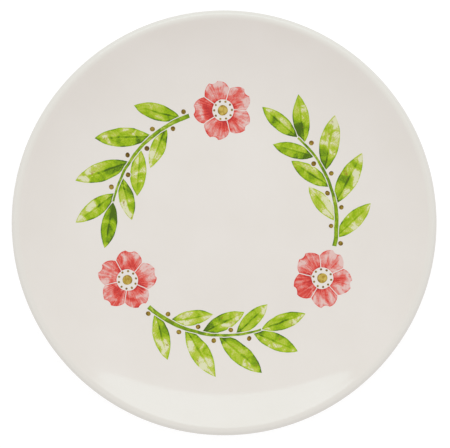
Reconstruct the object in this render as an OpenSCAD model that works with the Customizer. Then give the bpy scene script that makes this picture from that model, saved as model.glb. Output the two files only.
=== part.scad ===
// Coupe dessert plate: a fired ceramic body on a foot ring, the glaze coat over it,
// and a printed garland of leaf sprigs and blossoms fused to the glaze.
// Millimetres, +Z up. The origin is the centre of the standing face.

/* [Plate] */
// Outside diameter over the glazed lip
plate_d = 210; // [190:1:240]
// Height from the standing face to the top of the lip
plate_h = 23; // [19:0.5:28]
// Diameter of the level well, where the wall starts to rise
well_d = 100; // [84:1:116]
// Thickness of the well, glaze included
well_t = 5; // [4:0.1:6]
// Radius of the round on top of the lip, glaze included
lip_top_r = 3; // [2.4:0.1:3.6]
// Radius of the lip's outer edge, glaze included
lip_edge_r = 1.3; // [1:0.1:1.8]
// Angle from straight up at which the top round runs into the outer edge
lip_turn = 55; // [45:1:65]

/* [Foot] */
// Diameter of the foot ring at the middle of its standing face
foot_d = 118; // [100:1:130]
// Width of the foot ring, glaze included
foot_w = 3.8; // [3:0.1:5]
// Depth of the recess inside the foot ring
foot_h = 3; // [2.8:0.1:4.5]
// Radius of the fillets at the root of the foot
foot_fillet = 1.4; // [0.8:0.1:1.6]
// Radius on both edges of the standing face
foot_round = 0.5; // [0.2:0.1:0.7]

/* [Glaze] */
// Thickness of the glaze coat
glaze_t = 0.3; // [0.2:0.05:0.45]
// Height above the standing face at which the glaze stops
glaze_stop = 1; // [0.8:0.1:1.1]

/* [Garland] */
// Thickness of the printed film
film_t = 0.06; // [0.04:0.01:0.1]
// Bare gap kept between two printed colours
print_gap = 0.4; // [0.2:0.05:0.6]
// Radius of the ring that the stems and blossoms follow
garland_r = 56; // [50:0.5:60]
// Sprigs in the ring, with a blossom after each
repeats = 3; // [2:1:4]
// Turn of the whole garland about the plate's axis
garland_turn = 108; // [0:1:120]
// Clear space left at both sides of a blossom
blossom_space = 2; // [1:0.1:4]

/* [Sprig] */
// Width of a stem at its cut end
stem_w = 2.2; // [1.4:0.1:3]
// Width of a stem where it meets the end leaf
stem_tip_w = 1; // [0.6:0.1:1.4]
// Length of the largest leaf
leaf_l = 29; // [22:0.5:32]
// Width of the largest leaf
leaf_w = 9.8; // [7:0.1:11]
// Size of the leaves at both ends of a sprig, as a share of the largest
end_leaf_share = 0.8; // [0.6:0.01:1]
// Size of the leaves inside the ring, as a share of those outside it
inner_leaf_share = 0.82; // [0.7:0.01:1]
// Angle between a leaf and its stem
leaf_lean = 38; // [30:1:48]
// Clear space between neighbouring leaves
leaf_space = 0.4; // [0.4:0.1:3]
// Diameter of the bud behind each leaf
bud_d = 2.4; // [1.6:0.1:3]

/* [Blossom] */
// Diameter over the petal tips
blossom_d = 30; // [24:0.5:34]
// Petals of one blossom
petals = 5; // [5:1:6]
// Radius of the round end of a petal
petal_r = 6.6; // [6:0.1:7.2]
// Radius of the notch in a petal's tip
notch_r = 3; // [2:0.1:4]
// Depth of the notch in a petal's tip
notch_depth = 1.1; // [0.6:0.1:1.8]
// Diameter of the eye
eye_d = 5; // [4:0.1:6]
// Stamen dots round the eye
stamens = 10; // [8:1:12]
// Diameter of a stamen dot
stamen_d = 1.1; // [0.8:0.1:1.4]
// Radius of the ring of stamen dots
stamen_ring_r = 4.4; // [4.2:0.1:5.2]

/* [Hidden] */

// Circles are drawn with this many sides, and the arcs of the section in steps of these degrees.
$fn = 96;
wall_step = 2.5;
round_step = 15;

// Points of the section closer than this are one point.
same_point = 0.001;

biscuit_colour = [0.87, 0.82, 0.74];
glaze_colour = [0.89, 0.87, 0.84];
stem_colour = [0.42, 0.58, 0.10];
leaf_colour = [0.56, 0.72, 0.14];
bud_colour = [0.50, 0.38, 0.10];
petal_colour = [0.88, 0.34, 0.31];
eye_colour = [0.72, 0.52, 0.14];

// Section of the plate: X is the radius and Y the height.
well_r = well_d / 2;
under_z = foot_h;
well_z = foot_h + well_t;

// The lip has a wide round on top that runs into a smaller one at the outer edge.
lip_step = lip_top_r - lip_edge_r;
lip_edge_c = [plate_d / 2 - lip_edge_r, plate_h - lip_top_r + lip_step * cos(lip_turn)];
lip_top_c = [lip_edge_c.x - lip_step * sin(lip_turn), plate_h - lip_top_r];

// The wall is one arc inside and one outside. Each leaves the well level and runs into the
// lip without a crease, which fixes its radius.
inner_run = lip_top_c.x - well_r;
inner_rise = lip_top_c.y - well_z;
inner_r = (inner_run ^ 2 + inner_rise ^ 2 - lip_top_r ^ 2) / (2 * (inner_rise + lip_top_r));
inner_c = [well_r, well_z + inner_r];
inner_end = atan2(inner_run, inner_c.y - lip_top_c.y);
outer_run = lip_edge_c.x - well_r;
outer_rise = lip_edge_c.y - under_z;
outer_r = (outer_run ^ 2 + outer_rise ^ 2 - lip_edge_r ^ 2) / (2 * (outer_rise - lip_edge_r));
outer_c = [well_r, under_z + outer_r];
outer_end = atan2(outer_run, outer_c.y - lip_edge_c.y);

// The foot ring, with a fillet on each side of its root.
foot_out = foot_d / 2 + foot_w / 2;
foot_in = foot_d / 2 - foot_w / 2;
fillet_x = foot_out + foot_fillet;
fillet_z = fillet_x > well_r
    ? outer_c.y - sqrt((outer_r + foot_fillet) ^ 2 - (fillet_x - well_r) ^ 2)
    : under_z - foot_fillet;
fillet_out_c = [fillet_x, fillet_z];
fillet_in_c = [foot_in - foot_fillet, under_z - foot_fillet];
foot_meet = max(0, atan2(fillet_x - well_r, outer_c.y - fillet_z));

// Angles along the ring: the stem takes what its end leaf and the blossom leave of one repeat.
end_leaf_l = end_leaf_share * leaf_l;
end_leaf_w = end_leaf_share * leaf_w;
repeat_angle = 360 / repeats;
blossom_angle = ring_angle(blossom_d + 2 * blossom_space);
end_leaf_angle = ring_angle(end_leaf_l + print_gap);
stem_angle = repeat_angle - blossom_angle - end_leaf_angle;

// Leaves alternate along the stem, with the clear space between neighbours on one side.
leaf_pitch = ring_angle((leaf_w + leaf_space) / (2 * sin(leaf_lean)));
leaf_n = max(1, floor(stem_angle / leaf_pitch));

function ring_angle(length) = length / garland_r * 180 / PI;

// Place of a leaf along its stem, from 0 to 1.
function leaf_place(i) = (i + 0.5) / leaf_n;

// Leaves go to the two sides in turn, the first one outside the ring.
function leaf_side(i) = i % 2 == 0 ? 1 : -1;

// Leaves are largest halfway along the stem.
function leaf_size(i) =
    (end_leaf_share + (1 - end_leaf_share) * sin(180 * leaf_place(i)))
    * (leaf_side(i) > 0 ? 1 : inner_leaf_share);

function reversed(list) = [for (i = [len(list) - 1:-1:0]) list[i]];

// Stretches of a section in one list, without points that repeat the one before.
function joined(points) =
    [for (i = [0:len(points) - 1])
        if (i == 0 || norm(points[i] - points[i - 1]) > same_point) points[i]];

// Points on an arc. Angles are counted from straight down, towards the rim.
function arc(centre, radius, from, to, step) =
    let (n = ceil(abs(to - from) / step))
    [for (i = [0:n]) let (a = from + (to - from) * i / n) centre + radius * [sin(a), -cos(a)]];

// The stretches of the section, sunk below the glazed surface by a depth.
function upper_face(depth) =
    concat([[0, well_z - depth]], arc(inner_c, inner_r + depth, 0, inner_end, wall_step));

function lip(depth) = concat(
    arc(lip_top_c, lip_top_r - depth, inner_end + 180, 180 - lip_turn, round_step),
    arc(lip_edge_c, lip_edge_r - depth, 180 - lip_turn, outer_end, round_step)
);

function outer_wall(depth) = arc(outer_c, outer_r - depth, outer_end, foot_meet, wall_step);

function outer_fillet(depth) =
    arc(fillet_out_c, foot_fillet + depth, foot_meet + 180, 270, round_step);

function inner_fillet(depth) = arc(fillet_in_c, foot_fillet + depth, 90, 180, round_step);

// From the axis over the face, the lip and the underside, down the foot to the end of the glaze.
function main_side(depth) = joined(concat(
    upper_face(depth), lip(depth), outer_wall(depth), outer_fillet(depth),
    [[foot_out - depth, glaze_stop]]
));

// From the end of the glaze inside the foot to the axis.
function recess_side(depth) = concat(
    [[foot_in + depth, glaze_stop]], inner_fillet(depth), [[0, under_z + depth]]
);

// The bare tip of the foot.
function standing_edge() = concat(
    arc([foot_out - glaze_t - foot_round, foot_round], foot_round, 90, 0, round_step),
    arc([foot_in + glaze_t + foot_round, foot_round], foot_round, 0, -90, round_step)
);

// A section turned about the plate's axis.
module turned(section) {
    rotate_extrude() polygon(section);
}

// A printed outline, laid as a film on the glazed face.
module printed() {
    intersection() {
        linear_extrude(height = plate_h) children();
        turned(concat(upper_face(0), reversed(upper_face(-film_t))));
    }
}

// Moves a drawing to a place on the ring, with +X along the ring.
module on_ring(angle) {
    rotate(angle) translate([garland_r, 0]) rotate(90) children();
}

// Turns a drawing to one repeat of the garland.
module turned_to_repeat(k) {
    rotate(garland_turn + (k - 1) * repeat_angle) children();
}

// A leaf from the origin along +X, between two equal arcs.
module leaf_outline(length, width) {
    r = (length ^ 2 + width ^ 2) / (4 * width);
    intersection() {
        translate([length / 2, r - width / 2]) circle(r);
        translate([length / 2, width / 2 - r]) circle(r);
    }
}

// A stem along the ring, tapering from its cut end to its tip.
module stem_outline(grow = 0) {
    steps = ceil(stem_angle / wall_step);
    function half_width(i) = (stem_w + (stem_tip_w - stem_w) * i / steps) / 2 + grow;
    function edge(i, side) =
        let (a = stem_angle * i / steps)
        (garland_r + side * half_width(i)) * [cos(a), sin(a)];
    polygon(concat(
        [for (i = [0:steps]) edge(i, 1)],
        [for (i = [steps:-1:0]) edge(i, -1)]
    ));
}

// One leaf at its place on the stem.
module leaf_outlined(i, grow = 0) {
    on_ring(stem_angle * leaf_place(i))
        rotate(-leaf_side(i) * leaf_lean) translate([-grow, 0])
            leaf_outline(leaf_size(i) * leaf_l + 2 * grow, leaf_size(i) * leaf_w + 2 * grow);
}

// The leaf that carries on the line of the stem.
module end_leaf_outlined(grow = 0) {
    on_ring(stem_angle) translate([print_gap - grow, 0])
        leaf_outline(end_leaf_l + 2 * grow, end_leaf_w + 2 * grow);
}

// A leaf passes behind the next one on its side, the end leaf, the stem and the buds.
module leaf_outlines() {
    end_leaf_outlined();
    for (i = [0:leaf_n - 1])
        difference() {
            leaf_outlined(i);
            if (i + 2 < leaf_n) leaf_outlined(i + 2, print_gap);
            end_leaf_outlined(print_gap);
            stem_outline(print_gap);
            bud_outlines(print_gap);
        }
}

// A bud sits behind the root of each leaf.
module bud_outlines(grow = 0) {
    for (i = [0:leaf_n - 1])
        on_ring(stem_angle * leaf_place(i))
            translate([-bud_d, -leaf_side(i) * (stem_w / 2 + print_gap + bud_d / 2)])
                circle(bud_d / 2 + grow);
}

// Moves a drawing to the blossom after a sprig.
module at_blossom() {
    on_ring(stem_angle + end_leaf_angle + blossom_angle / 2) children();
}

// The eye of a blossom in its ring of stamens.
module eye_outlines() {
    circle(eye_d / 2);
    for (i = [0:stamens - 1])
        rotate(360 * i / stamens) translate([stamen_ring_r, 0]) circle(stamen_d / 2);
}

// Notched petals, parted by bare lines and clear of the stamens.
module petal_outlines() {
    difference() {
        for (i = [0:petals - 1])
            rotate(360 * i / petals) difference() {
                translate([blossom_d / 2 - petal_r, 0]) circle(petal_r);
                translate([blossom_d / 2 + notch_r - notch_depth, 0]) circle(notch_r);
            }
        for (i = [0:petals - 1])
            rotate(360 * (i + 0.5) / petals) translate([0, -print_gap / 2])
                square([blossom_d, print_gap]);
        circle(stamen_ring_r + stamen_d / 2 + print_gap);
    }
}

// The fired clay, bare only at the tip of its foot.
module biscuit_body() {
    color(biscuit_colour)
        turned(concat(main_side(glaze_t), standing_edge(), recess_side(glaze_t)));
}

// The glaze over the face, the lip and the underside.
module glaze_coat() {
    color(glaze_colour) turned(concat(main_side(0), reversed(main_side(glaze_t))));
}

// The glaze inside the foot ring.
module recess_glaze() {
    color(glaze_colour) turned(concat(recess_side(0), reversed(recess_side(glaze_t))));
}

// The printed films of one repeat.
module sprig_stem(k) {
    color(stem_colour) printed() turned_to_repeat(k) stem_outline();
}

module sprig_leaves(k) {
    color(leaf_colour) printed() turned_to_repeat(k) leaf_outlines();
}

module sprig_buds(k) {
    color(bud_colour) printed() turned_to_repeat(k) bud_outlines();
}

module blossom_petals(k) {
    color(petal_colour) printed() turned_to_repeat(k) at_blossom() petal_outlines();
}

module blossom_eye(k) {
    color(eye_colour) printed() turned_to_repeat(k) at_blossom() eye_outlines();
}

biscuit_body();
glaze_coat();
recess_glaze();
for (k = [1:repeats]) {
    sprig_stem(k);
    sprig_leaves(k);
    sprig_buds(k);
    blossom_petals(k);
    blossom_eye(k);
}
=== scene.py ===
# %% [markdown]
# # A coupe dessert plate
# A plate like this is one fired piece, but it is made in layers: a pressed clay body is fired once to
# biscuit, dipped in glaze, and the printed colours are fused to the glaze in a last firing. The CAD model
# holds those layers at their real size. This lesson dresses each one: a smooth glassy coat that can carry
# a clean reflection, a bare rough foot, and thin films of colour that look brushed.

# %% Load the frame
import math

import bmesh
import bpy
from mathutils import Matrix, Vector, kdtree, noise
from mathutils.geometry import delaunay_2d_cdt


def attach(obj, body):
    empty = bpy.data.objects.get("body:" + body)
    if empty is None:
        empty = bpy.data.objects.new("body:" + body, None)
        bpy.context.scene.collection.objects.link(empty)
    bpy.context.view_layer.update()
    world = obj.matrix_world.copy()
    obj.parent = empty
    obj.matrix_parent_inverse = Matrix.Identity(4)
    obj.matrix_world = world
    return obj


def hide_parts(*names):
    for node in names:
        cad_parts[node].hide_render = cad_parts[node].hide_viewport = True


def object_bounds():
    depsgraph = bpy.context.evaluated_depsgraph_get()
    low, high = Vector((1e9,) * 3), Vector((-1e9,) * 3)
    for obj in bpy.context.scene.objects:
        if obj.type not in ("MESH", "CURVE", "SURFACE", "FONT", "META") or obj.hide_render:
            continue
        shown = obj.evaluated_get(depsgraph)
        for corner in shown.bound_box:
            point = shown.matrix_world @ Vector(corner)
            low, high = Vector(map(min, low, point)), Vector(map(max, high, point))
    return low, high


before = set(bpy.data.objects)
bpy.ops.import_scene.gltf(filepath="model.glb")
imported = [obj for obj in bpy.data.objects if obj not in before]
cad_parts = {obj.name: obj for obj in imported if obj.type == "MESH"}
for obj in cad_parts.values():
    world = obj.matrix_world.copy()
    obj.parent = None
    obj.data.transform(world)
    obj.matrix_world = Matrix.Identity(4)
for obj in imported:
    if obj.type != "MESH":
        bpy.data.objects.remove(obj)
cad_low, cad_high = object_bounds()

MM = 0.001
scene = bpy.context.scene
scene.view_settings.view_transform = "Standard"
cad_size = [round(side / MM, 2) for side in cad_high - cad_low]
print("CAD nodes:", len(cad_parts), "overall size in mm:", cad_size)

# %% [markdown]
# ## Sizes
# Blender's coordinates are the CAD model's own, in metres. The few sizes that shape the section are
# repeated here by name, because the smooth surfaces are drawn again from them and not from the
# tessellated CAD mesh. The outside diameter and the height come from the frame.

# %% Sizes of the plate
plate_r = round((cad_high.x - cad_low.x) / 2, 4)
plate_h = round(cad_high.z, 4)
well_r = 50 * MM
well_t = 5 * MM
lip_top_r = 3 * MM
lip_edge_r = 1.3 * MM
lip_turn = math.radians(55)
foot_r = 59 * MM
foot_w = 3.8 * MM
foot_h = 3 * MM
foot_fillet = 1.4 * MM
foot_round = 0.5 * MM
glaze_t = 0.3 * MM
glaze_stop = 1 * MM

lip_step = lip_top_r - lip_edge_r
lip_edge_c = (plate_r - lip_edge_r, plate_h - lip_top_r + lip_step * math.cos(lip_turn))
lip_top_c = (lip_edge_c[0] - lip_step * math.sin(lip_turn), plate_h - lip_top_r)
print("plate radius and height in mm:", plate_r / MM, plate_h / MM)

# %% [markdown]
# ## Camera
# The photograph looks straight down through a long lens: the rim is a true circle. A camera could be
# moved and turned until the pictures match, but here it can be worked out. A camera with no rotation looks
# down in Blender, with +Y up in the picture, so only its place and its lens have to be found. The rim's
# radius in pixels gives the width that the picture covers, and the rim's centre gives how far the camera
# stands from the plate's axis.

# %% Camera above the plate
PICTURE_W = 450
PICTURE_H = 448
RIM_CENTRE = (224.1, 222.85)
RIM_RADIUS = 212.45
CAMERA_HEIGHT = 2.0
SENSOR_W = 36


def add_object(name, data):
    """Puts a camera, a light or a mesh into the scene."""
    made = bpy.data.objects.new(name, data)
    scene.collection.objects.link(made)
    return made


metres_per_pixel = plate_r / RIM_RADIUS
camera_data = bpy.data.cameras.new("camera")
camera_data.sensor_width = SENSOR_W
camera_data.lens = SENSOR_W * CAMERA_HEIGHT / (PICTURE_W * metres_per_pixel)
camera = add_object("camera", camera_data)
camera.location = (
    (PICTURE_W / 2 - RIM_CENTRE[0]) * metres_per_pixel,
    (RIM_CENTRE[1] - PICTURE_H / 2) * metres_per_pixel,
    lip_edge_c[1] + CAMERA_HEIGHT,
)
scene.camera = camera
print("lens in mm:", round(camera_data.lens, 1))

# %% [markdown]
# ## Light
# The glaze shows what lights it. A pale crescent near the lower lip is the reflection of one wide softbox
# that stands beyond the top of the picture. It could be found by trial, but the section's slope is known
# at every radius, so the edges of the crescent give the softbox's place and size by the law of reflection.
# It is cooler than the room, so the crescent looks less cream than the glaze around it. Radiance 1 is white
# here, so colours render about as they are written.

# %% Softbox
SOFTBOX_PLACE = (0, 0.856, 0.84)
SOFTBOX_HALF_W = 0.72
SOFTBOX_HALF_H = 0.265
SOFTBOX_UPRIGHT = math.radians(-90)
SOFTBOX_RADIANCE = 1.6
SOFTBOX_COLOUR = (0.706, 1.0, 1.0)

softbox_data = bpy.data.lights.new("softbox", "AREA")
softbox_data.shape = "ELLIPSE"
softbox_data.size = 2 * SOFTBOX_HALF_W
softbox_data.size_y = 2 * SOFTBOX_HALF_H
softbox_area = math.pi * SOFTBOX_HALF_W * SOFTBOX_HALF_H
softbox_data.energy = SOFTBOX_RADIANCE * math.pi * softbox_area
softbox_data.color = SOFTBOX_COLOUR
softbox = add_object("softbox", softbox_data)
softbox.location = SOFTBOX_PLACE
softbox.rotation_euler.x = SOFTBOX_UPRIGHT
print("softbox power in W:", round(softbox_data.energy, 2))

# %% [markdown]
# ## Room
# The rest is soft light from a pale room, brighter from above and a little brighter from the softbox's
# side. More lamps could give that, but each would show in the glaze, so the world does it: two shares of
# the ray's direction are added to an even light. To the camera, and in reflections, the room is white.

# %% Room light
ROOM_EVEN = (0.726, 0.711, 0.711)
ROOM_FROM_ABOVE = (0.252, 0.245, 0.249)
ROOM_FROM_BACK = (0.095, 0.080, 0.078)


def add_node(tree, kind, links=None, **values):
    """Adds a shader node, sets its properties, and fills or links its inputs."""
    made = tree.nodes.new("ShaderNode" + kind)
    for name, value in values.items():
        setattr(made, name, value)
    for socket, value in (links or {}).items():
        if isinstance(value, bpy.types.NodeSocket):
            tree.links.new(value, made.inputs[socket])
        else:
            made.inputs[socket].default_value = value
    return made


world = bpy.data.worlds.new("room")
world.use_nodes = True
scene.world = world
room = world.node_tree
room.nodes.clear()
direction = add_node(room, "SeparateXYZ", {0: add_node(room, "TexCoord").outputs["Generated"]})
room_light = ROOM_EVEN
for axis, share in (("Z", ROOM_FROM_ABOVE), ("Y", ROOM_FROM_BACK)):
    sockets = {0: direction.outputs[axis], 1: share, 2: room_light}
    room_light = add_node(room, "VectorMath", sockets, operation="MULTIPLY_ADD").outputs[0]
lit = add_node(room, "Background", {"Color": room_light})
overhead = [round(even + above, 3) for even, above in zip(ROOM_EVEN, ROOM_FROM_ABOVE)]
print("light from straight above:", overhead)


# %% White to the eye
def add_math(tree, operation, first, second=0.0, third=0.0):
    """Adds a Math node and returns its output."""
    return add_node(tree, "Math", {0: first, 1: second, 2: third}, operation=operation).outputs[0]


def seen_directly(tree):
    """1 for rays from the camera, a mirror or glass, and 0 for rays that carry light."""
    path = add_node(tree, "LightPath").outputs
    mirrored = add_math(tree, "MAXIMUM", path["Is Camera Ray"], path["Is Glossy Ray"])
    return add_math(tree, "MAXIMUM", mirrored, path["Is Transmission Ray"])


white = add_node(room, "Background", {"Color": (1, 1, 1, 1)})
backdrop = add_node(room, "MixShader", {0: seen_directly(room), 1: lit.outputs[0], 2: white.outputs[0]})
add_node(room, "OutputWorld", {0: backdrop.outputs[0]})
print("room nodes:", len(room.nodes))

# %% [markdown]
# ## Floor
# The photograph's ground is plain white with hardly a shadow. More light would turn a pale floor white,
# but it would bleach the plate as well. So the floor adds a steady glow to a pale matt surface: in open
# light the sum is white, and under the plate the matt share fades, so the shadow stays and the plate
# doesn't float. Light that only bounces off the floor meets plain matt white.

# %% White floor
FLOOR_R = 4.0
FLOOR_SIDES = 96
FLOOR_GAP = 0.02 * MM
FLOOR_GLOW = 0.83
FLOOR_MATT = (0.25, 0.25, 0.25, 1)
FLOOR_BOUNCE = (0.8, 0.8, 0.8, 1)
CREASE = 45


def finished_object(name, mesh):
    """An object from a bmesh, shaded smooth except at its sharp edges."""
    data = bpy.data.meshes.new(name)
    mesh.to_mesh(data)
    mesh.free()
    data.shade_smooth()
    data.set_sharp_from_angle(angle=math.radians(CREASE))
    return add_object(name, data)


floor_mesh = bmesh.new()
bmesh.ops.create_circle(floor_mesh, cap_ends=True, segments=FLOOR_SIDES, radius=FLOOR_R)
floor = finished_object("floor", floor_mesh)
floor.location.z = -FLOOR_GAP

ground = bpy.data.materials.new("white_ground")
ground.use_nodes = True
paper = ground.node_tree
paper.nodes.clear()
matt = add_node(paper, "BsdfDiffuse", {"Color": FLOOR_MATT})
glow = add_node(paper, "Emission", {"Strength": FLOOR_GLOW})
bright = add_node(paper, "AddShader", {0: matt.outputs[0], 1: glow.outputs[0]})
plain = add_node(paper, "BsdfDiffuse", {"Color": FLOOR_BOUNCE})
surface = add_node(paper, "MixShader", {0: seen_directly(paper), 1: plain.outputs[0], 2: bright.outputs[0]})
add_node(paper, "OutputMaterial", {0: surface.outputs[0]})
floor.data.materials.append(ground)
print("floor radius in m:", FLOOR_R)

# %% [markdown]
# ## The section
# A potter thinks of a plate as a section turned about its axis. A Bezier curve could draw the section, but
# its bends change along the way, and a glaze shows that in its reflections. So the face and the underside
# are each one true arc that leaves the well level and runs into the lip without a crease, and that
# condition fixes the arcs' radii. The lip is a wide round on top and a smaller one at the outer edge. Every
# surface is a copy of the outer line, sunk by some depth, so the glaze, the body below it and the printed
# films above it all follow one another exactly.

# %% Arcs of the wall
well_z = foot_h + well_t
inner_run = lip_top_c[0] - well_r
inner_rise = lip_top_c[1] - well_z
inner_r = (inner_run**2 + inner_rise**2 - lip_top_r**2) / (2 * (inner_rise + lip_top_r))
inner_c = (well_r, well_z + inner_r)
inner_end = math.degrees(math.atan2(inner_run, inner_c[1] - lip_top_c[1]))
outer_run = lip_edge_c[0] - well_r
outer_rise = lip_edge_c[1] - foot_h
outer_r = (outer_run**2 + outer_rise**2 - lip_edge_r**2) / (2 * (outer_rise - lip_edge_r))
outer_c = (well_r, foot_h + outer_r)
outer_end = math.degrees(math.atan2(outer_run, outer_c[1] - lip_edge_c[1]))
print("slope of the face at the lip in degrees:", round(inner_end, 1))

# %% Root of the foot
foot_out = foot_r + foot_w / 2
foot_in = foot_r - foot_w / 2
fillet_x = foot_out + foot_fillet
fillet_z = outer_c[1] - math.sqrt((outer_r + foot_fillet) ** 2 - (fillet_x - well_r) ** 2)
fillet_out_c = (fillet_x, fillet_z)
fillet_in_c = (foot_in - foot_fillet, foot_h - foot_fillet)
foot_meet = math.degrees(math.atan2(fillet_x - well_r, outer_c[1] - fillet_z))
print("foot from", round(foot_in / MM, 2), "to", round(foot_out / MM, 2), "mm")

# %% Line over the face and the back
WALL_STEP = 1.2
ROUND_STEP = 6
WELL_RINGS = 10


def arc(centre, radius, start, end, step):
    """Points on an arc. Angles count from straight down, towards the rim."""
    count = math.ceil(abs(end - start) / step)
    angles = [math.radians(start + (end - start) * i / count) for i in range(count + 1)]
    return [(centre[0] + radius * math.sin(a), centre[1] - radius * math.cos(a)) for a in angles]


def face_line(depth):
    """From the axis over the well and up the wall."""
    well = [(well_r * i / WELL_RINGS, well_z - depth) for i in range(WELL_RINGS)]
    return well + arc(inner_c, inner_r + depth, 0, inner_end, WALL_STEP)


def main_line(depth):
    """From the axis over the face, the lip and the underside, down to where the glaze stops."""
    turn = 180 - math.degrees(lip_turn)
    lip = arc(lip_top_c, lip_top_r - depth, inner_end + 180, turn, ROUND_STEP)
    lip += arc(lip_edge_c, lip_edge_r - depth, turn, outer_end, ROUND_STEP)[1:]
    wall = arc(outer_c, outer_r - depth, outer_end, foot_meet, WALL_STEP)
    fillet = arc(fillet_out_c, foot_fillet + depth, foot_meet + 180, 270, ROUND_STEP)
    return face_line(depth) + lip[1:] + wall[1:] + fillet[1:] + [(foot_out - depth, glaze_stop)]


print("points over the face and the back:", len(main_line(0)))


# %% Lines of the foot
def recess_line(depth):
    """From where the glaze stops inside the foot to the axis."""
    fillet = arc(fillet_in_c, foot_fillet + depth, 90, 180, ROUND_STEP)
    ceiling = fillet_in_c[0]
    rings = [(ceiling * i / WELL_RINGS, foot_h + depth) for i in reversed(range(WELL_RINGS))]
    return [(foot_in + depth, glaze_stop)] + fillet + rings


def foot_tip():
    """The bare edge that the plate stands on, rounded at both corners."""
    outside = (foot_out - glaze_t - foot_round, foot_round)
    inside = (foot_in + glaze_t + foot_round, foot_round)
    return arc(outside, foot_round, 90, 0, ROUND_STEP) + arc(inside, foot_round, 0, -90, ROUND_STEP)


print("points in the recess and on the tip:", len(recess_line(0)), len(foot_tip()))

# %% [markdown]
# ## Turning
# Turning the section gives rings of vertices joined by quads. A Screw modifier could do that, but a real
# plate isn't dead true: pressing and firing leave waves a few hundredths of a millimetre high, which you
# only see because they bend reflections. One function gives those waves by place, so that the glaze and
# the films on it share them. The foot is ground true and has none.

# %% Fired waves
WAVE_LENGTH = 38 * MM
WAVE_HEIGHT = 0.035 * MM
WAVE_FROM = 5 * MM
WAVE_FULL = 8 * MM


def fired_wave(x, y, z):
    """Height of the slow waves left by pressing and firing. They fade out towards the foot."""
    share = min(1.0, max(0.0, (z - WAVE_FROM) / (WAVE_FULL - WAVE_FROM)))
    return share * WAVE_HEIGHT * noise.noise(Vector((x, y, 0)) / WAVE_LENGTH)


round_rim = [math.radians(angle) for angle in range(360)]
waves = [fired_wave(plate_r * math.cos(a), plate_r * math.sin(a), plate_h) / MM for a in round_rim]
print("waves round the rim in mm from", round(min(waves), 3), "to", round(max(waves), 3))

# %% Turned objects
SEGMENTS = 240
ON_AXIS = 0.001 * MM


def turned_ring(mesh, radius, height):
    """One ring of vertices, or a single one on the axis."""
    if radius < ON_AXIS:
        return [mesh.verts.new((0, 0, height + fired_wave(0, 0, height)))]
    ring = []
    for i in range(SEGMENTS):
        angle = 2 * math.pi * i / SEGMENTS
        x, y = radius * math.cos(angle), radius * math.sin(angle)
        ring.append(mesh.verts.new((x, y, height + fired_wave(x, y, height))))
    return ring


def join_rings(mesh, first, second):
    """Faces between two neighbouring rings. A ring on the axis makes a fan."""
    for i in range(SEGMENTS):
        near = [first[i % len(first)], first[(i + 1) % len(first)]]
        far = [second[(i + 1) % len(second)], second[i % len(second)]]
        corners = list(dict.fromkeys(near + far))
        if len(corners) > 2:
            mesh.faces.new(corners)


def turned_object(name, outline):
    """Turns a closed outline of radius and height about the plate's axis."""
    mesh = bmesh.new()
    rings = [turned_ring(mesh, radius, height) for radius, height in outline]
    for first, second in zip(rings, rings[1:] + rings[:1]):
        if len(first) + len(second) > 2:
            join_rings(mesh, first, second)
    bmesh.ops.recalc_face_normals(mesh, faces=mesh.faces)
    return finished_object(name, mesh)


print("length of a quad at the rim in mm:", round(2 * math.pi * plate_r / SEGMENTS / MM, 2))

# %% [markdown]
# ## Glaze and biscuit
# The glaze coat is a closed shell as thick as the real one, over the face, the lip and the underside. It
# stops a millimetre above the standing face, where a potter wipes it off so that the plate doesn't stick
# to the kiln shelf, and surface tension rounds its edge there. One mesh with two materials could show both
# glaze and clay, but only a shell has that edge. The biscuit body fills the shell and shows only at the
# bare foot.

# %% Body and coats
EDGE_STEP = 20


def stand_for(piece, cad_node):
    """The piece takes the place of a CAD node and its body."""
    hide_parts(cad_node)
    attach(piece, "root")
    print(piece.name, len(piece.data.polygons), "faces")


edge_r = glaze_t / 2
edge_z = glaze_stop + edge_r
edge_out = arc((foot_out - edge_r, edge_z), edge_r, 90, -90, EDGE_STEP)
edge_in = arc((foot_in + edge_r, edge_z), edge_r, 90, -90, EDGE_STEP)
body_outline = main_line(glaze_t) + foot_tip() + recess_line(glaze_t)
coat_outline = main_line(0)[:-1] + edge_out + main_line(glaze_t)[-2::-1]
recess_outline = recess_line(glaze_t)[:0:-1] + edge_in + recess_line(0)[1:]

body = turned_object("fired_biscuit", body_outline)
coat = turned_object("glaze_over_plate", coat_outline)
recess = turned_object("glaze_in_recess", recess_outline)
stand_for(body, "biscuit_body")
stand_for(coat, "glaze_coat")
stand_for(recess, "recess_glaze")

# %% [markdown]
# ## The glaze's finish
# This glaze is a warm white glass. Its look depends on where you are on the plate: on the lip it runs
# thin, in the corners of the foot it pools. A painted map could hold that, but the plate would have to be
# unwrapped for it. So the material starts from three places instead: the point itself, its distance from
# the axis and its height. These are places on the plate and not in the picture, so the finish stays put
# from every side.

# %% Places on the plate
SLANT = (0.6, 0.5, 0.8)


def new_finish(name):
    """A material, its node tree, and the inputs of its Principled shader."""
    material = bpy.data.materials.new(name)
    material.use_nodes = True
    tree = material.node_tree
    return material, tree, tree.nodes["Principled BSDF"].inputs


def place_on_plate(tree):
    """Coordinates in the plate's own frame, in metres."""
    return add_node(tree, "TexCoord").outputs["Object"]


def slanted(tree, place):
    """The same coordinates, turned, so that a level face doesn't cut noise along its grid."""
    return add_node(tree, "Mapping", {"Vector": place, "Rotation": SLANT}).outputs["Vector"]


def from_axis(tree, place):
    """Distance from the plate's axis, in metres."""
    flat = add_node(tree, "VectorMath", {0: place, 1: (1, 1, 0)}, operation="MULTIPLY")
    return add_node(tree, "VectorMath", {0: flat.outputs[0]}, operation="LENGTH").outputs["Value"]


def above_table(tree, place):
    """Height above the table, in metres."""
    return add_node(tree, "SeparateXYZ", {0: place}).outputs["Z"]


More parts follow.
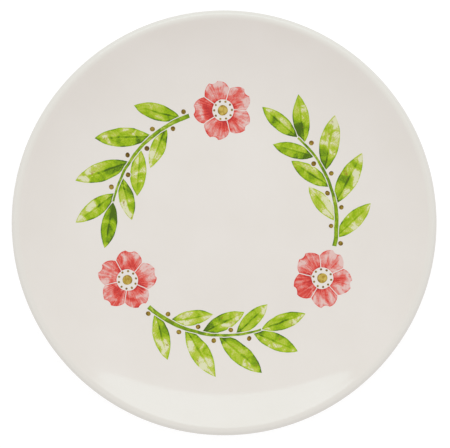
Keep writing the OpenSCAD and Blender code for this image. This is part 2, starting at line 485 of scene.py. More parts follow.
glaze, glaze_tree, glaze_shader = new_finish("warm_white_glaze")
glaze_place = place_on_plate(glaze_tree)
glaze_grain = slanted(glaze_tree, glaze_place)
glaze_radius = from_axis(glaze_tree, glaze_place)
glaze_height = above_table(glaze_tree, glaze_place)
print("glaze nodes so far:", len(glaze_tree.nodes))

# %% [markdown]
# ## Tone of the glaze
# Seen close, the tone drifts a little with the glaze's thickness. A narrow ring on the top of the lip is
# painted a little darker: that is painted shade. Where the glaze rolls over the outer edge it is greyer.
# One even colour would look like plastic, so noise drives the drift, at the size that it has on the real
# surface.

# %% Drift of the tone
GLAZE_TONES = [(0.3, (0.795, 0.747, 0.694)), (0.7, (0.813, 0.767, 0.719))]
DRIFT_MM = 24


def add_noise(tree, place, size_mm, detail=3.0, distortion=0.0):
    """Noise whose blots are about this size, and returns its 0 to 1 output."""
    sockets = {"Vector": place, "Scale": 1 / (size_mm * MM), "Detail": detail, "Distortion": distortion}
    return add_node(tree, "TexNoise", sockets).outputs["Fac"]


def add_ramp(tree, value, stops):
    """Colours along a ramp, given as (position, colour) stops, and returns the output."""
    made = add_node(tree, "ValToRGB", {0: value})
    ramp = made.color_ramp
    while len(ramp.elements) < len(stops):
        ramp.elements.new(0.5)
    for element, (position, colour) in zip(ramp.elements, stops):
        element.position = position
        element.color = (*colour, 1)
    return made.outputs["Color"]


drift = add_noise(glaze_tree, glaze_grain, DRIFT_MM, detail=4.0)
glaze_tone = add_ramp(glaze_tree, drift, GLAZE_TONES)
print("the tone drifts over", DRIFT_MM, "mm or so")

# %% Painted shade on the lip's top, and roll of the lip
GLAZE_ROLL = (0.786, 0.762, 0.708)
ROLL_FROM = plate_r - 4.5 * MM
ROLL_FULL = plate_r - 1.2 * MM
GLAZE_CROWN_SHADE = (0.774, 0.741, 0.685)
CROWN_R = lip_top_c[0] - 0.35 * MM
CROWN_FULL = 0.2 * MM
CROWN_END = 1.4 * MM


def add_range(tree, value, low, high, to_low=0.0, to_high=1.0):
    """Moves a value from one range to another with soft ends, and returns the output."""
    sockets = {"Value": value, "From Min": low, "From Max": high, "To Min": to_low, "To Max": to_high}
    return add_node(tree, "MapRange", sockets, interpolation_type="SMOOTHSTEP").outputs["Result"]


def add_tint(tree, share, colour, tint):
    """Mixes a share of a plain tint into a colour, and returns the output."""
    return add_node(tree, "Mix", {0: share, 6: colour, 7: (*tint, 1)}, data_type="RGBA").outputs[2]


def distance_from(tree, value, middle):
    """How far a value is from a middle, to either side."""
    return add_math(tree, "ABSOLUTE", add_math(tree, "SUBTRACT", value, middle))


rolled = add_range(glaze_tree, glaze_radius, ROLL_FROM, ROLL_FULL)
glaze_tone = add_tint(glaze_tree, rolled, glaze_tone, GLAZE_ROLL)
# A narrow ring on the top of the lip is darkened here: painted shade, not a colour of the glaze.
off_crown = distance_from(glaze_tree, glaze_radius, CROWN_R)
crown_shade = add_range(glaze_tree, off_crown, CROWN_FULL, CROWN_END, 1.0, 0.0)
glaze_tone = add_tint(glaze_tree, crown_shade, glaze_tone, GLAZE_CROWN_SHADE)
print("crown of the lip at", round(CROWN_R / MM, 2), "mm from the axis")

# %% [markdown]
# ## Glaze at the foot
# Molten glaze creeps into the corners beside the foot ring, and a deeper pool of it looks a little
# greenish. At the wiped edge it is only a skin, and the biscuit warms it. Such tones could be painted on
# the vertices, but they would be as coarse as the mesh. Distance from the foot and height above the table
# find both places exactly.

# %% Pools and wiped edge
GLAZE_POOL = (0.690, 0.700, 0.640)
POOL_FULL = foot_w / 2 + 0.2 * MM
POOL_END = foot_w / 2 + 2.6 * MM
POOL_TOP = foot_h + 1.5 * MM
GLAZE_EDGE = (0.640, 0.560, 0.450)
EDGE_FADE = 0.4 * MM
EDGE_SHARE = 0.8

off_foot = distance_from(glaze_tree, glaze_radius, foot_r)
beside_foot = add_range(glaze_tree, off_foot, POOL_FULL, POOL_END, 1.0, 0.0)
below_plate = add_range(glaze_tree, glaze_height, foot_h, POOL_TOP, 1.0, 0.0)
pool = add_math(glaze_tree, "MULTIPLY", beside_foot, below_plate)
glaze_tone = add_tint(glaze_tree, pool, glaze_tone, GLAZE_POOL)
wiped = add_range(glaze_tree, glaze_height, glaze_stop, glaze_stop + EDGE_FADE, EDGE_SHARE, 0.0)
glaze_tone = add_tint(glaze_tree, wiped, glaze_tone, GLAZE_EDGE)
glaze_tree.links.new(glaze_tone, glaze_shader["Base Color"])
print("pools reach", round((POOL_END - foot_w / 2) / MM, 2), "mm from the foot")

# %% [markdown]
# ## Gloss of the glaze
# A fired glaze is never a perfect mirror: its gloss wanders a little, and its surface has the faint
# ripple that potters call orange peel. Moving the mesh for it would take a great many faces, and bump is
# enough for a ripple of a hundredth of a millimetre. Most of a noise lies in the middle of its range, so
# that span is the one to stretch.

# %% Gloss and ripple
GLAZE_IOR = 1.5
NOISE_SPAN = (0.3, 0.7)
GLOSS_MM = 9
GLOSS_ROUGHNESS = (0.07, 0.11)
RIPPLE_MM = 3.5
RIPPLE_HEIGHT = 0.01 * MM
RIPPLE_STRENGTH = 0.35


def add_bump(tree, shader, height, distance, strength):
    """Lets a height bend the shader's normal."""
    bump = add_node(tree, "Bump", {"Height": height, "Distance": distance, "Strength": strength})
    tree.links.new(bump.outputs["Normal"], shader["Normal"])


gloss = add_noise(glaze_tree, glaze_grain, GLOSS_MM, detail=5.0)
roughness = add_range(glaze_tree, gloss, *NOISE_SPAN, *GLOSS_ROUGHNESS)
glaze_tree.links.new(roughness, glaze_shader["Roughness"])
ripple = add_noise(glaze_tree, glaze_grain, RIPPLE_MM, detail=2.0)
add_bump(glaze_tree, glaze_shader, ripple, RIPPLE_HEIGHT, RIPPLE_STRENGTH)
glaze_shader["IOR"].default_value = GLAZE_IOR
coat.data.materials.append(glaze)
recess.data.materials.append(glaze)
print("glaze nodes:", len(glaze_tree.nodes))

# %% [markdown]
# ## The bare foot
# Biscuit is matt and a little porous. Its grain is finer than a millimetre, with a few darker specks of
# iron, and the tip that slides over shelves and tables picks up grey. A picture of clay could give the
# grain, but it would repeat round the ring and show seams. Noise and cells give grain and specks at their
# real size, and height above the table tells the material where the tip is.

# %% Clay and specks
BISCUIT_TONES = [(0.3, (0.63, 0.54, 0.43)), (0.7, (0.75, 0.67, 0.56))]
BISCUIT_SPECK = (0.30, 0.19, 0.11)
GRAIN_MM = 0.5
SPECK_SPACING = 2.2 * MM
SPECK_EDGE = (0.05, 0.10)
SPECK_SHARE = 0.6

biscuit, biscuit_tree, biscuit_shader = new_finish("cream_biscuit")
biscuit_place = place_on_plate(biscuit_tree)
biscuit_grain = slanted(biscuit_tree, biscuit_place)
grain = add_noise(biscuit_tree, biscuit_grain, GRAIN_MM, detail=5.0)
clay = add_ramp(biscuit_tree, grain, BISCUIT_TONES)
cells = add_node(biscuit_tree, "TexVoronoi", {"Vector": biscuit_grain, "Scale": 1 / SPECK_SPACING})
speck = add_range(biscuit_tree, cells.outputs["Distance"], *SPECK_EDGE, SPECK_SHARE, 0.0)
specked = add_tint(biscuit_tree, speck, clay, BISCUIT_SPECK)
print("a speck every", SPECK_SPACING / MM, "mm or so")

# %% Scuffs and grain
BISCUIT_SCUFF = (0.47, 0.44, 0.40)
SCUFF_SHARE = 0.6
SCUFF_LOW = 0.03 * MM
SCUFF_HIGH = 0.30 * MM
SCUFF_MM = 7
SCUFF_SPAN = (0.45, 0.7)
CLAY_ROUGHNESS = 0.9
SCUFF_ROUGHNESS = 0.7
GRAIN_HEIGHT = 0.05 * MM
GRAIN_STRENGTH = 0.6

biscuit_height = above_table(biscuit_tree, biscuit_place)
tip = add_range(biscuit_tree, biscuit_height, SCUFF_LOW, SCUFF_HIGH, SCUFF_SHARE, 0.0)
rubbed = add_noise(biscuit_tree, biscuit_grain, SCUFF_MM, detail=6.0)
worn = add_range(biscuit_tree, rubbed, *SCUFF_SPAN)
scuff = add_math(biscuit_tree, "MULTIPLY", tip, worn)
biscuit_tone = add_tint(biscuit_tree, scuff, specked, BISCUIT_SCUFF)
biscuit_tree.links.new(biscuit_tone, biscuit_shader["Base Color"])
dull = add_range(biscuit_tree, worn, 0.0, 1.0, CLAY_ROUGHNESS, SCUFF_ROUGHNESS)
biscuit_tree.links.new(dull, biscuit_shader["Roughness"])
add_bump(biscuit_tree, biscuit_shader, grain, GRAIN_HEIGHT, GRAIN_STRENGTH)
body.data.materials.append(biscuit)
print("biscuit shows below", glaze_stop / MM, "mm")

# %% [markdown]
# ## Printed garland
# Motifs on such plates are printed in ceramic colours on a sheet, slid onto the glaze while wet and fired
# until they fuse with it. They could be painted into one material, but a film of real thickness keeps
# each motif a piece of its own, like the CAD node that it replaces. The motifs are drawn flat here, in
# millimetres, and laid on the curved face afterwards.

# %% Sizes of the garland
garland_r = 56
repeats = 3
garland_turn = 108
print_gap = 0.4
stem_w = 2.2
stem_tip_w = 1.0
leaf_l = 29
leaf_w = 9.8
end_leaf_share = 0.8
inner_leaf_share = 0.82
leaf_lean = 38
leaf_space = 0.4
bud_d = 2.4
blossom_d = 30
blossom_space = 2
petals = 5
petal_r = 6.6
notch_r = 3
notch_depth = 1.1
eye_d = 5
stamens = 10
stamen_d = 1.1
stamen_ring_r = 4.4


def ring_angle(length):
    """Angle that a length takes along the garland's ring."""
    return math.degrees(length / garland_r)


end_leaf_l = end_leaf_share * leaf_l
end_leaf_w = end_leaf_share * leaf_w
repeat_angle = 360 / repeats
blossom_angle = ring_angle(blossom_d + 2 * blossom_space)
end_leaf_angle = ring_angle(end_leaf_l + print_gap)
stem_angle = repeat_angle - blossom_angle - end_leaf_angle
leaf_pitch = ring_angle((leaf_w + leaf_space) / (2 * math.sin(math.radians(leaf_lean))))
leaf_n = max(1, math.floor(stem_angle / leaf_pitch))
print("leaves on a stem:", leaf_n, "stem angle:", round(stem_angle, 2))

# %% [markdown]
# ## Drawing the motifs
# Curve objects could draw the motifs, but a curve doesn't say what lies inside it. So each motif here knows
# three things: its outline (lines), whether it holds a point (holds), and where a point lies along and
# across it (place). The outline shapes the film, the test cuts away what passes behind a neighbour, and the
# place steers the brushwork: a vein needs to know where the middle of its leaf is. A motif that cuts others
# can also grow by a gap (grown), and a leaf, the only motif that is cut, can say whether a point is near it.

# %% A leaf
OUTLINE_STEP = 0.35


def heading(angle):
    """Unit vector at an angle in degrees."""
    return Vector((math.cos(math.radians(angle)), math.sin(math.radians(angle))))


class Leaf:
    """A leaf between two equal arcs, from its root along a heading."""

    def __init__(self, root, angle, length, width):
        self.root = root
        self.angle = angle
        self.along = heading(angle)
        self.across = heading(angle + 90)
        self.length = length
        self.width = width
        self.bow = (length**2 + width**2) / (4 * width)

    def grown(self, gap):
        root = self.root - gap * self.along
        return Leaf(root, self.angle, self.length + 2 * gap, self.width + 2 * gap)

    def half_width(self, from_middle):
        """Half the leaf's width at a distance from its middle."""
        return math.sqrt(max(0, self.bow**2 - from_middle**2)) - self.bow + self.width / 2

    def place(self, point):
        """Share of the length from the root, and of the half width from the midrib."""
        offset = point - self.root
        along = offset.dot(self.along)
        half = max(self.half_width(along - self.length / 2), OUTLINE_STEP)
        return along / self.length, offset.dot(self.across) / half

    def holds(self, point, margin=0.0):
        offset = point - self.root
        from_middle = offset.dot(self.along) - self.length / 2
        return abs(offset.dot(self.across)) < self.half_width(from_middle) + margin

    def lines(self):
        count = math.ceil(self.length / OUTLINE_STEP)
        sides = []
        for side in (1, -1):
            for i in range(count):
                along = self.length * (0.5 - 0.5 * side * math.cos(math.pi * i / count))
                across = side * self.half_width(along - self.length / 2)
                sides.append(self.root + along * self.along + across * self.across)
        return [sides + sides[:1]]


sample_leaf = Leaf(Vector((0, 0)), 0, leaf_l, leaf_w)
print("bow of a leaf's edges in mm:", round(sample_leaf.bow, 1))


# %% A stem
class Stem:
    """A stem along the ring, tapering from its cut end to its tip."""

    def __init__(self, start, margin=0.0):
        self.start = start
        self.margin = margin

    def grown(self, gap):
        return Stem(self.start, gap)

    def half_width(self, share):
        """Half the stem's width at a share of its length."""
        return (stem_w + (stem_tip_w - stem_w) * share) / 2 + self.margin

    def place(self, point):
        """Share of the length from the cut end, and of the half width from the middle."""
        turn = (math.degrees(math.atan2(point.y, point.x)) - self.start + 180) % 360 - 180
        share = turn / stem_angle
        return share, (point.length - garland_r) / self.half_width(share)

    def holds(self, point):
        share, across = self.place(point)
        return 0 < share < 1 and abs(across) < 1

    def lines(self):
        count = math.ceil(math.radians(stem_angle) * garland_r / OUTLINE_STEP)
        sides = []
        for side in (1, -1):
            for i in range(count + 1):
                share = i / count if side > 0 else 1 - i / count
                spot = heading(self.start + stem_angle * share)
                sides.append((garland_r + side * self.half_width(share)) * spot)
        return [sides + sides[:1]]


print("length of a stem in mm:", round(math.radians(stem_angle) * garland_r, 1))

# %% A round dab
ROUND_POINTS = 24


def circle(centre, radius):
    """Points round a circle, the first one repeated at the end."""
    count = max(ROUND_POINTS, math.ceil(2 * math.pi * radius / OUTLINE_STEP))
    return [centre + radius * heading(360 * i / count) for i in range(count + 1)]


class Dab:
    """A round dab of the brush, such as a bud, a stamen or the eye of a blossom."""

    def __init__(self, centre, radius):
        self.centre = centre
        self.radius = radius

    def grown(self, gap):
        return Dab(self.centre, self.radius + gap)

    def place(self, point):
        """Share of the radius. A dab has no across."""
        return (point - self.centre).length / self.radius, 0.0

    def holds(self, point):
        return (point - self.centre).length < self.radius

    def lines(self):
        return [circle(self.centre, self.radius)]


print("points round the eye of a blossom:", len(circle(Vector((0, 0)), eye_d / 2)) - 1)


# %% A petal
class Petal:
    """One petal of a blossom, with a notch in its edge and a gap to its neighbours."""

    half_turn = 180 / petals
    inner_r = stamen_ring_r + stamen_d / 2 + print_gap

    def __init__(self, centre, angle):
        self.centre = centre
        self.angle = angle
        self.lobe = centre + (blossom_d / 2 - petal_r) * heading(angle)
        self.notch = centre + (blossom_d / 2 + notch_r - notch_depth) * heading(angle)

    def place(self, point):
        """Share of the way from the eye to the edge, and of the half turn from the middle."""
        offset = point - self.centre
        along = offset.dot(heading(self.angle))
        across = offset.dot(heading(self.angle + 90))
        turn = math.degrees(math.atan2(across, along))
        share = (offset.length - self.inner_r) / (blossom_d / 2 - self.inner_r)
        return share, turn / self.half_turn

    def holds(self, point):
        offset = point - self.centre
        in_lobe = (point - self.lobe).length < petal_r
        in_notch = (point - self.notch).length < notch_r
        if not in_lobe or in_notch or offset.length < self.inner_r:
            return False
        sides = (heading(self.angle + self.half_turn - 90), heading(self.angle - self.half_turn + 90))
        return all(offset.dot(side) > print_gap / 2 for side in sides)

    def lines(self):
        count = math.ceil(blossom_d / 2 / OUTLINE_STEP)
        gaps = []
        for side in (1, -1):
            ray = self.angle + side * self.half_turn
            start = self.centre + print_gap / 2 * heading(ray - side * 90)
            step = blossom_d / 2 / count * heading(ray)
            gaps.append([start + i * step for i in range(count + 1)])
        rounds = (self.lobe, petal_r), (self.notch, notch_r), (self.centre, self.inner_r)
        return gaps + [circle(centre, radius) for centre, radius in rounds]


print("petals reach from", round(Petal.inner_r, 2), "to", blossom_d / 2, "mm")

# %% [markdown]
# ## Filling the motifs
# One large face could fill a motif, but it would stay flat where the plate curves. Small triangles let the
# film bend with the face and carry fine brushwork. A constrained Delaunay triangulation respects the
# motif's outline and the outlines of what cuts it, and a triangular grid inside keeps the triangles even.
# Triangles outside the motif are dropped.

# %% Outlines and grid
GRID_STEP = 0.85
REACH = 1.0


def nearest_of(points):
    """A tree that finds the nearest of some flat points."""
    tree = kdtree.KDTree(len(points))
    for i, point in enumerate(points):
        tree.insert(point.to_3d(), i)
    tree.balance()
    return tree


def motif_segments(motif, cutters):
    """The motif's own outline, and the stretches of its cutters' outlines that reach it."""
    segments = [pair for line in motif.lines() for pair in zip(line, line[1:])]
    for cutter in cutters:
        for line in cutter.lines():
            pairs = zip(line, line[1:])
            segments += [pair for pair in pairs if any(motif.holds(end, REACH) for end in pair)]
    return segments


def grid_points(ends, holds):
    """Points of a triangular grid inside the motif, clear of its outlines."""
    tree = nearest_of(ends)
    low = Vector((min(end.x for end in ends), min(end.y for end in ends)))
    high = Vector((max(end.x for end in ends), max(end.y for end in ends)))
    row_step = GRID_STEP * math.sqrt(3) / 2
    points = []
    for row in range(math.ceil((high.y - low.y) / row_step)):
        shift = GRID_STEP / 2 * (row % 2)
        for column in range(math.ceil((high.x - low.x) / GRID_STEP)):
            point = low + Vector((column * GRID_STEP + shift, row * row_step))
            if holds(point) and tree.find(point.to_3d())[2] > GRID_STEP / 2:
                points.append(point)
    return points


print("segments in a leaf's outline:", len(motif_segments(sample_leaf, [])))

# %% Triangles of a motif
SAME_POINT = 0.02


def motif_triangles(motif, cutters):
    """Points and triangles of a motif, after what lies in front of it is cut away."""
    grown = [cutter.grown(print_gap) for cutter in cutters]

    def holds(point):
        return motif.holds(point) and not any(cutter.holds(point) for cutter in grown)

    segments = motif_segments(motif, grown)
    ends = [end for pair in segments for end in pair]
    edges = [(2 * i, 2 * i + 1) for i in range(len(segments))]
    filled = delaunay_2d_cdt(ends + grid_points(ends, holds), edges, [], 0, SAME_POINT)
    flat, triangles = filled[0], filled[2]
    kept = [tri for tri in triangles if holds(sum((flat[i] for i in tri), Vector((0, 0))) / 3)]
    return flat, kept


print("triangles in a leaf:", len(motif_triangles(sample_leaf, [])[1]))

# %% [markdown]
# ## Laying the films
# Every point of a motif is lifted onto the face of the glaze. A Shrinkwrap modifier could do that, but the
# section is known, so the face's height at any radius is exact. A film is thin at its outline and full
# thickness half a millimetre inside, and a second sheet just under the glaze closes it. A brush is never
# quite steady, so a slow and a fast wander of a fraction of a millimetre move the points on the way. Each
# is read from two levels of one noise, which needs no seed and is the same in every run. Two layers of data
# go along with the points for the brushwork: the place on the motif and the distance to its edge.

# %% Points on the face
FILM_T = 0.06
FILM_EDGE_T = 0.015
FILM_SINK = 0.02
EDGE_RUN = 0.5
UNSTEADY = ((0.28, 5.0), (0.07, 1.3))
WANDER_X = 3.5
WANDER_Y = 8.5


def face_height(radius):
    """Height of the glazed face at a distance from the axis."""
    if radius < well_r:
        return well_z
    return inner_c[1] - math.sqrt(inner_r**2 - (radius - well_r) ** 2)


def hand_drawn(point):
    """A point of the drawing, moved a little as by an unsteady brush."""
    moved = point.copy()
    for reach, length in UNSTEADY:
        x, y = point / length
        moved.x += reach * noise.noise(Vector((x, y, WANDER_X)))
        moved.y += reach * noise.noise(Vector((x, y, WANDER_Y)))
    return moved


def laid(point, lift):
    """A flat point in millimetres, laid on the glaze with a lift."""
    x, y = hand_drawn(point) * MM
    height = face_height(math.hypot(x, y))
    return Vector((x, y, height + fired_wave(x, y, height) + lift * MM))


def film_lift(from_edge):
    """Thickness of a film at a distance from its edge."""
    share = min(1.0, from_edge / EDGE_RUN)
    return FILM_EDGE_T + (FILM_T - FILM_EDGE_T) * share * share * (3 - 2 * share)


print("film at its edge and inside in mm:", film_lift(0), film_lift(EDGE_RUN))

# %% Films
PLACE_LAYER = "print_place"
EDGE_LAYER = "edge_mm"


def lay_motif(mesh, motif, cutters, tone):
    """Adds one closed film to a mesh. Its tone goes along with its place."""
    place_layer = mesh.verts.layers.float_vector[PLACE_LAYER]
    edge_layer = mesh.verts.layers.float[EDGE_LAYER]
    flat, triangles = motif_triangles(motif, cutters)
    steps = {(tri[i], tri[(i + 1) % 3]) for tri in triangles for i in range(3)}
    rim = sorted(step for step in steps if step[::-1] not in steps)
    tree = nearest_of([flat[start] for start, _ in rim])
    top, under = {}, {}
    for i in sorted({i for tri in triangles for i in tri}):
        from_edge = tree.find(flat[i].to_3d())[2]
        top[i] = mesh.verts.new(laid(flat[i], film_lift(from_edge)))
        under[i] = mesh.verts.new(laid(flat[i], -FILM_SINK))
        for vert in (top[i], under[i]):
            vert[place_layer] = (*motif.place(flat[i]), tone)
            vert[edge_layer] = from_edge
    for tri in triangles:
        mesh.faces.new([top[i] for i in tri])
        mesh.faces.new([under[i] for i in reversed(tri)])
    for start, end in rim:
        mesh.faces.new((top[end], top[start], under[start], under[end]))


def film_object(name, motifs, material, cad_node):
    """One printed piece from (motif, cutters, tone) rows. It stands for a CAD node."""
    mesh = bmesh.new()
    mesh.verts.layers.float_vector.new(PLACE_LAYER)
    mesh.verts.layers.float.new(EDGE_LAYER)
    for motif, cutters, tone in motifs:
        lay_motif(mesh, motif, cutters, tone)
    made = finished_object(name, mesh)
    made.data.materials.append(material)
    stand_for(made, cad_node)


print("data of a film:", PLACE_LAYER, EDGE_LAYER)

# %% [markdown]
# ## Brushed colours
# The colours look like a wash of watercolour: the pigment gathers in blots, dries darker along the edge of
# a stroke, leaves pale islands where the brush was wet, and breaks into fine grain. Colours could be mixed
# over one another for this, but a wash is one pigment, of which there is more or less. So a material first
# adds up how much pigment lies at a point, and a ramp then turns that into colour, from nearly bare glaze
# to full strength. It reads the motif's own place and edge distance from the mesh.

# %% A wash
TONE_SHARE = 0.22
DAB_MM = 2.8
DAB_SPAN = (0.64, 0.76)
DAB_SHARE = 0.75
WASH_ROUGHNESS = (0.14, 0.24)
WASH_IOR = 1.3
WASH_HEIGHT = 0.02 * MM
WASH_STRENGTH = 0.4


class Wash:
    """A finish whose pigment is laid on step by step, and then turned into colour."""

    def __init__(self, name):
        self.material, self.tree, self.shader = new_finish(name)
        self.grain = slanted(self.tree, place_on_plate(self.tree))
        self.motif = add_node(self.tree, "Attribute", attribute_name=PLACE_LAYER).outputs["Vector"]
        parts = add_node(self.tree, "SeparateXYZ", {0: self.motif}).outputs
        self.along, self.across, tone = parts["X"], parts["Y"], parts["Z"]
        self.amount = add_math(self.tree, "MULTIPLY", tone, TONE_SHARE)

    def lay(self, pigment):
        """Adds pigment to what is there already."""
        self.amount = add_math(self.tree, "ADD", self.amount, pigment)

    def coloured(self, stops, dab):
        """Turns pigment into colour, with spots of a second colour, and returns the material."""
        wash = add_ramp(self.tree, self.amount, stops)
        spots = add_noise(self.tree, self.grain, DAB_MM, detail=2.0, distortion=0.8)
        share = add_range(self.tree, spots, *DAB_SPAN, 0.0, DAB_SHARE)
        self.tree.links.new(add_tint(self.tree, share, wash, dab), self.shader["Base Color"])
        roughness = add_range(self.tree, self.amount, 0.0, 1.0, *WASH_ROUGHNESS)
        self.tree.links.new(roughness, self.shader["Roughness"])
        add_bump(self.tree, self.shader, self.amount, WASH_HEIGHT, WASH_STRENGTH)
        self.shader["IOR"].default_value = WASH_IOR
        print(self.material.name, len(self.tree.nodes), "nodes")
        return self.material


print("roughness of bare and full colour:", WASH_ROUGHNESS)

# %% [markdown]
# ## Stems, buds and eyes
# The plainest strokes need only what water does to pigment. An even colour would be simpler, but it would
# look like a sticker. Noise gives the blots, a thin line along one level of the same noise is the tide mark
# that a drying edge leaves, and the distance to the outline gives the dark pool along a stroke's side.

# %% Blots and pools
BLOT_SPAN = (0.34, 0.66)
BLOT_SHARE = 0.72
TIDE_LEVEL = 0.46
TIDE_WIDTH = 0.025
TIDE_MARK = 0.14
PIGMENT_MM = 0.55
PIGMENT_SHARE = 0.09
POOL_RUN = (0.05, 0.9)


def lay_blots(wash, size_mm):
    """Pigment in blots, with tide marks at their shores and a fine grain."""
    tree = wash.tree
    wet = add_noise(tree, wash.grain, size_mm, detail=4.0, distortion=0.6)
    wash.lay(add_range(tree, wet, *BLOT_SPAN, 0.0, BLOT_SHARE))
    wash.lay(add_range(tree, distance_from(tree, wet, TIDE_LEVEL), 0.0, TIDE_WIDTH, TIDE_MARK, 0.0))
    fine = add_noise(tree, wash.grain, PIGMENT_MM)
    wash.lay(add_range(tree, fine, *NOISE_SPAN, -PIGMENT_SHARE, PIGMENT_SHARE))


def lay_pool(wash, share):
    """Pigment that dries along the outline."""
    edge = add_node(wash.tree, "Attribute", attribute_name=EDGE_LAYER).outputs["Fac"]
    wash.lay(add_range(wash.tree, edge, *POOL_RUN, share, 0.0))


def plain_wash(name, stops, blot_mm, pool, dab):
    """A wash of blots and a pool, for small or narrow strokes."""
    wash = Wash(name)
    lay_blots(wash, blot_mm)
    lay_pool(wash, pool)
    return wash.coloured(stops, dab)


stem_green = [(0.0, (0.48, 0.55, 0.10)), (0.4, (0.25, 0.40, 0.0)), (1.0, (0.08, 0.17, 0.0))]
bud_brown = [(0.0, (0.40, 0.30, 0.04)), (0.5, (0.25, 0.15, 0.01)), (1.0, (0.11, 0.06, 0.0))]
eye_ochre = [(0.0, (0.62, 0.46, 0.10)), (0.5, (0.42, 0.27, 0.03)), (1.0, (0.20, 0.10, 0.02))]
stem_finish = plain_wash("stem_green_wash", stem_green, blot_mm=4, pool=0.2, dab=(0.26, 0.16, 0.02))
bud_finish = plain_wash("bud_brown_wash", bud_brown, blot_mm=2, pool=0.3, dab=(0.33, 0.11, 0.03))
eye_finish = plain_wash("eye_ochre_wash", eye_ochre, blot_mm=2, pool=0.3, dab=(0.36, 0.30, 0.04))

# %% [markdown]
# ## Leaves
# A painted leaf has more drawing in it: one half lies in shade, the colour deepens towards the root, and
# a midrib with slanting side veins is drawn into the wet wash and fades before the tip. The veins could be
# films of their own, but paint that runs into wet paint has no edge. So all of these are pigment, and
# follow the place along and across the leaf.

# %% Leaf green
SHADE_RUN = (-0.3, 0.3)
ROOT_RUN = (0.0, 0.7)
VEINS = 8
VEIN_SWEEP = 0.16
VEIN_WIDTH = 0.12
VEIN_FADE = (0.6, 0.95)
MIDRIB = (0.05, 0.17)


def lay_shade(wash, share):
    """More pigment on one half of the motif and less on the other."""
    wash.lay(add_range(wash.tree, wash.across, *SHADE_RUN, -share, share))


def lay_root(wash, share):
    """Pigment that deepens towards the motif's root."""
    wash.lay(add_range(wash.tree, wash.along, *ROOT_RUN, share, -share / 2))


def lay_veins(wash, share):
    """A midrib and side veins a third as dark, which fade towards the tip."""
    tree = wash.tree
    from_middle = add_math(tree, "ABSOLUTE", wash.across)
    midrib = add_range(tree, from_middle, *MIDRIB, share, 0.0)
    swept = add_math(tree, "MULTIPLY_ADD", from_middle, -VEIN_SWEEP, wash.along)
    beat = add_math(tree, "PINGPONG", add_math(tree, "MULTIPLY", swept, VEINS), 0.5)
    side_veins = add_range(tree, beat, 0.0, VEIN_WIDTH, share / 3, 0.0)
    fading = add_range(tree, wash.along, *VEIN_FADE, 1.0, 0.0)
    veins = add_math(tree, "MAXIMUM", midrib, side_veins)
    wash.lay(add_math(tree, "MULTIPLY", veins, fading))


leaf_wash = Wash("leaf_green_wash")
lay_blots(leaf_wash, size_mm=7)
lay_pool(leaf_wash, share=0.3)
lay_shade(leaf_wash, share=0.11)
lay_root(leaf_wash, share=0.2)
lay_veins(leaf_wash, share=0.35)
leaf_green = [
    (0.0, (0.73, 0.73, 0.47)),
    (0.12, (0.58, 0.61, 0.19)),
    (0.25, (0.49, 0.58, 0.06)),
    (0.55, (0.33, 0.50, 0.0)),
    (0.85, (0.16, 0.30, 0.0)),
    (1.0, (0.07, 0.14, 0.0)),
]
leaf_finish = leaf_wash.coloured(leaf_green, dab=(0.33, 0.17, 0.02))

# %% [markdown]
# ## Petals
# A petal is brushed from the eye outwards, so its pigment lies in rays. A Wave texture could draw rays, but
# too evenly. Noise that is stretched along the petal and squeezed across it gives uneven ones, and the
# petal's own tone shifts the noise, so that no two petals have the same rays.

# %% Petal coral
RAY_STRETCH = (0.5, 5.0, 9.0)
RAY_SCALE = 1.6
RAY_SPAN = (0.35, 0.65)


def lay_rays(wash, share):
    """Streaks of pigment along the motif."""
    fan = add_node(wash.tree, "VectorMath", {0: wash.motif, 1: RAY_STRETCH}, operation="MULTIPLY")
    sockets = {"Vector": fan.outputs[0], "Scale": RAY_SCALE, "Detail": 3.0}
    rays = add_node(wash.tree, "TexNoise", sockets).outputs["Fac"]
    wash.lay(add_range(wash.tree, rays, *RAY_SPAN, -share, share))


petal_wash = Wash("petal_coral_wash")
lay_blots(petal_wash, size_mm=6)
lay_pool(petal_wash, share=0.22)
lay_root(petal_wash, share=0.22)
lay_rays(petal_wash, share=0.16)
petal_coral = [
    (0.0, (0.78, 0.53, 0.49)),
    (0.35, (0.76, 0.23, 0.20)),
    (0.7, (0.73, 0.07, 0.05)),
    (1.0, (0.51, 0.03, 0.03)),
]
petal_finish = petal_wash.coloured(petal_coral, dab=(0.74, 0.30, 0.26))

# %% [markdown]
# ## Sprigs
# One repeat of the garland is a stem along the ring, leaves to both sides in turn, one more leaf at the
# tip and a bud across the stem from each leaf. A leaf passes behind the next one on its side, the leaf at
# the tip, the stem and the buds: they cut it, with a gap that shows the glaze. An Array modifier could
# repeat one sprig, but every copy would have the same strokes. So each is laid by itself, and its leaves and
# buds carry tones of their own, read from noise at a place that a number gives.


# %% Leaves and buds along a stem
def ring_spot(angle, along=0.0, inwards=0.0):
    """A point at an angle on the ring, moved along the ring and towards its middle."""
    return (garland_r - inwards) * heading(angle) + along * heading(angle + 90)


def repeat_start(k):
    """Angle at which a repeat of the garland starts."""
    return garland_turn + (k - 1) * repeat_angle


def leaf_side(i):
    """Leaves alternate: 1 is outside the ring and -1 is inside."""
    return 1 if i % 2 == 0 else -1


def leaf_size(i):
    """Leaves are largest halfway along the stem, and smaller inside the ring."""
    share = end_leaf_share + (1 - end_leaf_share) * math.sin(math.pi * (i + 0.5) / leaf_n)
    return share * (1 if leaf_side(i) > 0 else inner_leaf_share)


def leaf_and_bud(k, i):
    """One leaf of a sprig, and the bud across the stem from it."""
    spot = repeat_start(k) + stem_angle * (i + 0.5) / leaf_n
    size = leaf_size(i)
    lean = spot + 90 - leaf_side(i) * leaf_lean
    leaf = Leaf(ring_spot(spot), lean, size * leaf_l, size * leaf_w)
    beside = -leaf_side(i) * (stem_w / 2 + print_gap + bud_d / 2)
    return leaf, Dab(ring_spot(spot, along=-bud_d, inwards=beside), bud_d / 2)


print("leaf lengths in mm:", [round(leaf_size(i) * leaf_l, 1) for i in range(leaf_n)])

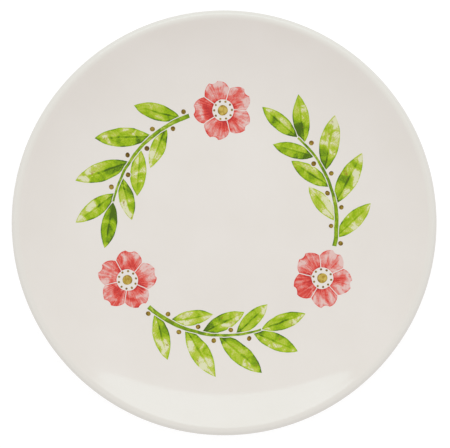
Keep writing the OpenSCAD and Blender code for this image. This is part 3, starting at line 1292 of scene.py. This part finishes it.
# %% Three sprigs
TONE_START = 0.4
TONE_STEP = 7.3
TONE_ROW = (2.1, 0.7)
TONE_REACH = 1.6
LEAF_TONES = 10
BUD_TONES = 50


def tone_of(number):
    """A steady number, mostly between -1 and 1, that differs from motif to motif."""
    return noise.noise(Vector((TONE_STEP * number + TONE_START, *TONE_ROW))) * TONE_REACH


for k in range(1, repeats + 1):
    stem = Stem(repeat_start(k))
    tip_angle = repeat_start(k) + stem_angle
    end_leaf = Leaf(ring_spot(tip_angle, along=print_gap), tip_angle + 90, end_leaf_l, end_leaf_w)
    pairs = [leaf_and_bud(k, i) for i in range(leaf_n)]
    leaves = [leaf for leaf, _ in pairs]
    buds = [bud for _, bud in pairs]
    leaf_rows = [(end_leaf, [], tone_of(k))]
    for i, leaf in enumerate(leaves):
        next_on_side = leaves[i + 2 : i + 3]
        leaf_rows.append((leaf, next_on_side + [end_leaf, stem] + buds, tone_of(LEAF_TONES * k + i)))
    bud_rows = [(bud, [], tone_of(BUD_TONES * k + i)) for i, bud in enumerate(buds)]
    film_object(f"leaf_films_{k}", leaf_rows, leaf_finish, f"sprig_{k}_leaves")
    film_object(f"stem_film_{k}", [(stem, [], 0.0)], stem_finish, f"sprig_{k}_stem")
    film_object(f"bud_films_{k}", bud_rows, bud_finish, f"sprig_{k}_buds")

# %% [markdown]
# ## Blossoms
# A five-petalled blossom fills the space between two sprigs. Its petals are lobes with a notch, parted by
# thin bare lines, and its middle is an ochre eye in a ring of stamens. One blossom could be copied too, but
# its brush strokes would be copied with it, so a loop lays all three.

# %% Blossoms between the sprigs
PETAL_TONES = 90
EYE_TONE = -0.6
STAMEN_TONE = 1.0

for k in range(1, repeats + 1):
    spot = repeat_start(k) + stem_angle + end_leaf_angle + blossom_angle / 2
    centre = ring_spot(spot)
    petal_rows = []
    for i in range(petals):
        petal_rows.append((Petal(centre, spot + 90 + 360 * i / petals), [], tone_of(PETAL_TONES * k + i)))
    eye_rows = [(Dab(centre, eye_d / 2), [], EYE_TONE)]
    for i in range(stamens):
        stamen = centre + stamen_ring_r * heading(spot + 90 + 360 * i / stamens)
        eye_rows.append((Dab(stamen, stamen_d / 2), [], STAMEN_TONE))
    film_object(f"petal_films_{k}", petal_rows, petal_finish, f"blossom_{k}_petals")
    film_object(f"eye_films_{k}", eye_rows, eye_finish, f"blossom_{k}_eye")
